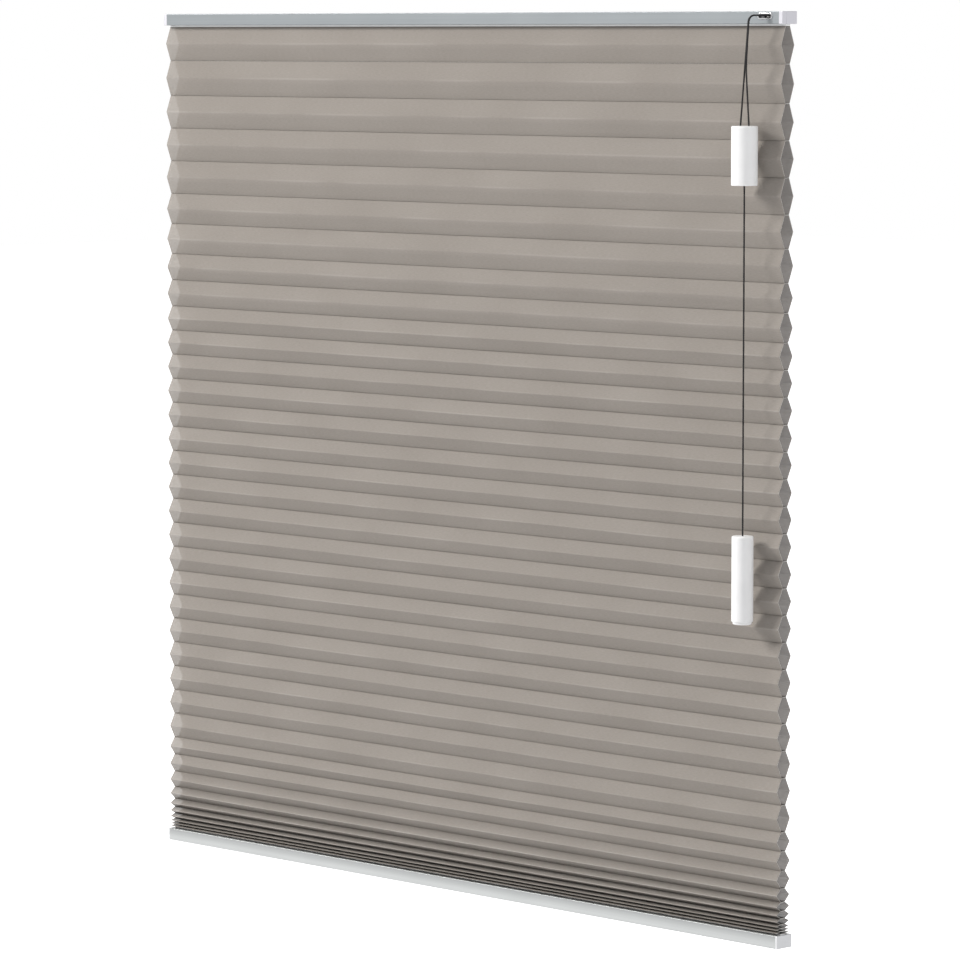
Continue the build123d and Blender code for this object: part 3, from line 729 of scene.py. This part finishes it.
# %% Cord
def braided(name, colour, lighter):
    """Dark yarn with fine filaments."""
    finish = Finish(name, Roughness=0.6, Specular_IOR_Level=0.3, Sheen_Weight=0.05,
                    Sheen_Roughness=0.4)
    filaments = finish.noise(finish.place((1.0, 1.0, 0.25)), 5200.0, 2.0)
    rubbed = finish.noise(finish.place(), 300.0, 2.0)
    share = finish.clamped(filaments * 0.7 + rubbed * 0.3, 0.35, 0.75)
    finish.join(finish.shader.inputs["Base Color"], finish.between(colour, lighter, share))
    finish.relief(filaments, 0.00012, 0.8)
    return finish.material


finishes["cord_braid"] = braided("cord_braid", (0.006, 0.006, 0.007), (0.022, 0.021, 0.022))

# %% [markdown]
# The cloth is a thin nonwoven of polyester fibres, a warm grey. Light passes through it in three
# ways. Some goes straight through the gaps between fibres, some is scattered on to the other side,
# and the rest is scattered back. So the shader mixes a clear part, a through-lit part and a plain
# one. The fibres lie mostly across the blind, and there are thicker and thinner places in the web.
# The inside of the cells wears a darker copy of the same cloth, painted shade for the inside of the
# tubes.

# %% Cloth
CLEAR = 0.31
THROUGH_LIT = 0.22


def cloth(name, warm, pale, deep):
    """Thin nonwoven cloth that some light passes through; pale paints highlight on the creases."""
    finish = Finish(name, Roughness=0.9, Specular_IOR_Level=0.0)
    web = finish.noise(finish.place((1.0, 2.2, 1.0), True), 150.0, 2.0, 0.65)
    fibres = finish.noise(finish.place((0.12, 1.0, 1.0), True), 1500.0, 2.0, 0.7)
    cloud = finish.noise(finish.place((1.0, 1.6, 1.0), True), 9.0, 1.0)
    fold = finish.attribute("fold")
    # Painted highlight: the creases are lightened towards pale, in streaks where the cloud lets
    # them and fully on the packed low rows.
    crease = finish.clamped(fold, 0.93, 1.0)
    bond = 1.0 - finish.clamped(fold, 0.0, 0.10)
    glint = finish.clamped(cloud, 0.42, 0.62)
    body = finish.between(deep, warm, finish.clamped(web * 0.3 + fibres * 0.5 + cloud * 0.2,
                                                     0.36, 0.64))
    packed = finish.clamped(finish.attribute("row"), 28.0, 33.0)
    with_crease_highlight = finish.between(body, pale, crease * (glint * 0.22 + packed * 0.65))
    gap_shade = finish.clamped(fold, 0.95, 0.1) * packed * 0.85
    shaded = finish.between(with_crease_highlight, tuple(part * 0.15 for part in deep), gap_shade)
    # The bonds are darkened: partly the glue line, partly painted shade in the groove between the
    # tubes.
    finish.join(finish.shader.inputs["Base Color"],
                finish.between(shaded, tuple(part * 0.45 for part in deep), bond * 0.6))
    finish.relief(fibres * 0.7 + web * 0.3, 0.00022, 0.8)
    through = finish.node("ShaderNodeBsdfTranslucent", values={"Color": (*warm, 1.0)})
    soft = finish.node("ShaderNodeMixShader", values={0: THROUGH_LIT, 1: finish.shader.outputs[0],
                                                     2: through.outputs[0]})
    gap = finish.node("ShaderNodeBsdfTransparent")
    holes = CLEAR * (0.75 + web * 0.5) * (1.0 - bond)
    whole = finish.node("ShaderNodeMixShader", values={0: holes, 1: soft.outputs[0],
                                                      2: gap.outputs[0]})
    finish.join(finish.surface.inputs["Surface"], whole.outputs[0])
    return finish.material


finishes["blind_fabric"] = cloth("blind_fabric", (0.480, 0.443, 0.404), (0.70, 0.66, 0.62),
                                 (0.380, 0.347, 0.313))
# Painted shade: a darker copy of the cloth for the inside of the tubes.
finishes["shaded_cloth_inside"] = cloth("shaded_cloth_inside", (0.250, 0.222, 0.204), (0.40, 0.36, 0.33),
                                 (0.185, 0.163, 0.148))

# %% [markdown]
# Where the cloth is cut, its fibres are fused and show as a paler line. It has a finish of its own
# on the cloth's edge faces and on the last millimetre.

# %% Cut edge of the cloth
def cut_edge(name):
    """Fused pale fibres."""
    finish = Finish(name, Roughness=0.8)
    frays = finish.noise(finish.place(cloth=True), 1500.0, 3.0)
    finish.join(finish.shader.inputs["Base Color"],
                finish.between((0.50, 0.48, 0.45), (0.70, 0.68, 0.65),
                               finish.clamped(frays, 0.3, 0.7)))
    finish.relief(frays, 0.0001, 0.6)
    return finish.material


finishes["cut_edge"] = cut_edge("cut_edge")
print("finishes", sorted(finishes))

# %% [markdown]
# ## Put on the finishes
# Each construction piece takes the finish that the record names for it.

# %% Finish of each piece
def wear(piece, *slots):
    """Gives a piece its finishes, the first of which is the main one."""
    piece.data.materials.clear()
    for slot in slots:
        piece.data.materials.append(finishes[slot])


for node, piece in frame["nodes"].items():
    wear(piece, slot_of_node[node])
wear(cells, "blind_fabric", "shaded_cloth_inside", "cut_edge")
cord_pieces = [single_cord] + [piece for piece, _ in free_cords.values()]
cord_pieces += [piece for stretches in lift_stretches.values() for piece in stretches]
for piece in cord_pieces:
    wear(piece, "cord_braid")
print("finished", len(frame["nodes"]) + 1 + len(cord_pieces), "pieces")

# %% [markdown]
# ## What moves with what
# On the real blind the cloth and the upright cords inside it get shorter as the bottom rail comes
# up, towards the underside of the head rail, and at the end of the travel they keep the share of
# their height that is left between the rails. The free cords bend from the rail's exit to the
# condenser, which goes down, and the knots under the bottom strip go up with the bottom rail. Here
# the pieces are only attached to the bodies that carry them, the free cords are left in place, and
# the share that the gathered cloth keeps is worked out.

# %% Rides and gathering
lift = next(joint for joint in frame["joints"] if joint["name"] == "bottom_rail_lift")
gather_height = FABRIC_TOP - fabric_low.z
gather_keep = 1.0 - max(lift["range_m"]) / gather_height
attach(cells, "head")
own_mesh(cells)
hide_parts("cell_fabric")
for cord_name, (inside, drop, knot) in lift_stretches.items():
    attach(inside, "head")
    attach(drop, "head")
    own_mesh(drop)
    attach(knot, "bottom")
    free_piece = free_cords[cord_name][0]
    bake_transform(free_piece)
    for piece in (inside, drop, knot, free_piece):
        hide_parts("lift_cord_" + cord_name)
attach(single_cord, "pull")
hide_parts("pull_cord")
print("gathered cloth keeps", round(gather_keep, 4), "of its height")

# %% [markdown]
# The lengths of the cords' lines are worked out again here, and the condenser's pieces are listed
# for the free cords; the results are not used.

for cord_name, (piece, line) in free_cords.items():
    goes_with = [frame["nodes"]["condenser_shell"], frame["nodes"]["condenser_base"]]
    line_length(line)
    goes_with if cord_name == "right" else []
line_length(pull_line)

# %% [markdown]
# ## Floor and light
# The floor is a large pale plane, well below the tassel at its lowest. One large soft lamp stands
# to the front left, above the blind. The surroundings are white where the camera looks, and
# dimmer, brighter from below than from above, in how they light the blind, as in a studio with a
# lit floor and a dark ceiling.

# %% Floor
FLOOR_LEVEL = -1.9
FLOOR_HALF = 30.0
floor_shape = bmesh.new()
bmesh.ops.create_grid(floor_shape, x_segments=1, y_segments=1, size=FLOOR_HALF,
                      matrix=Matrix.Translation((0, 0, FLOOR_LEVEL)))
floor = add_piece("floor", finish_mesh(floor_shape, "floor"))
floor_finish = Finish("floor_paint", Roughness=0.9, Emission_Strength=1.0,
                      Emission_Color=(1.0, 1.0, 1.0, 1.0), Base_Color=(0.9, 0.9, 0.9, 1.0))
floor.data.materials.append(floor_finish.material)
floor.visible_diffuse = False
floor.visible_glossy = False
floor.visible_shadow = False
floor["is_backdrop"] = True
print("floor at", FLOOR_LEVEL)

# %% Surroundings
FROM_BELOW = (0.97, 0.97, 0.975, 1.0)
FROM_ABOVE = (0.20, 0.20, 0.205, 1.0)
world = bpy.data.worlds.new("studio")
bpy.context.scene.world = world
world.use_nodes = True
tree = world.node_tree
tree.nodes.clear()
way = tree.nodes.new("ShaderNodeTexCoord")
split = tree.nodes.new("ShaderNodeSeparateXYZ")
height = tree.nodes.new("ShaderNodeMapRange")
tone = tree.nodes.new("ShaderNodeMix")
tone.data_type = "RGBA"
seen = tree.nodes.new("ShaderNodeMix")
seen.data_type = "RGBA"
rays = tree.nodes.new("ShaderNodeLightPath")
background = tree.nodes.new("ShaderNodeBackground")
output = tree.nodes.new("ShaderNodeOutputWorld")
height.inputs["From Min"].default_value = -0.25
height.inputs["From Max"].default_value = 0.45
tone.inputs[6].default_value = FROM_BELOW
tone.inputs[7].default_value = FROM_ABOVE
seen.inputs[7].default_value = (1.0, 1.0, 1.0, 1.0)
for start, end in ((way.outputs["Generated"], split.inputs[0]),
                   (split.outputs["Z"], height.inputs["Value"]),
                   (height.outputs["Result"], tone.inputs[0]),
                   (tone.outputs[2], seen.inputs[6]),
                   (rays.outputs["Is Camera Ray"], seen.inputs[0]),
                   (seen.outputs[2], background.inputs["Color"]),
                   (background.outputs[0], output.inputs["Surface"])):
    tree.links.new(start, end)

# %% Soft lamp
LAMP_TRAVEL = Vector((0.565, 0.628, -0.534)).normalized()
LAMP_DISTANCE = 9.0
LAMP_SIZE = 3.2
LAMP_WATTS = 900.0
LAMP_AIM = Vector((0.2, 0.0, -0.45))
lamp_data = bpy.data.lights.new("soft_lamp", "AREA")
lamp_data.shape = "DISK"
lamp_data.size = LAMP_SIZE
lamp_data.energy = LAMP_WATTS
lamp_data.color = (1.0, 0.985, 0.965)
lamp = bpy.data.objects.new("soft_lamp", lamp_data)
lamp.location = LAMP_AIM - LAMP_TRAVEL * LAMP_DISTANCE
lamp.rotation_euler = LAMP_TRAVEL.to_track_quat("-Z", "Y").to_euler()
bpy.context.collection.objects.link(lamp)
print("lamp at", [round(v, 2) for v in lamp.location])

# %% [markdown]
# Two wider and weaker lamps fill the shade. The one on the right lights the ends of the rails and
# the open cells, the one behind shows the blind's back.

# %% Fill lamps
def fill_lamp(name, place, size, energy):
    """A wide soft lamp that points at the middle of the blind."""
    data = bpy.data.lights.new(name, "AREA")
    data.shape = "DISK"
    data.size = size
    data.energy = energy
    fill = bpy.data.objects.new(name, data)
    fill.location = place
    way_to_blind = Vector((0.0, 0.0, -0.5)) - fill.location
    fill.rotation_euler = way_to_blind.to_track_quat("-Z", "Y").to_euler()
    bpy.context.collection.objects.link(fill)
    print(name, "at", [round(v, 2) for v in fill.location])


fill_lamp("side_fill", (4.0, -0.7, 2.3), 2.4, 64.0)
fill_lamp("back_fill", (-1.6, 4.4, 1.2), 2.6, 75.0)

# %% [markdown]
# ## Size
# Both boxes, the construction's and the finished look's, are printed. The finished look may
# stand only a little proud of the construction.

# %% Write both boxes
visual_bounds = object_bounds()
for label, corners in (("construction", cad_bounds), ("look", visual_bounds)):
    print(label, [[round(v, 4) for v in corner] for corner in corners])
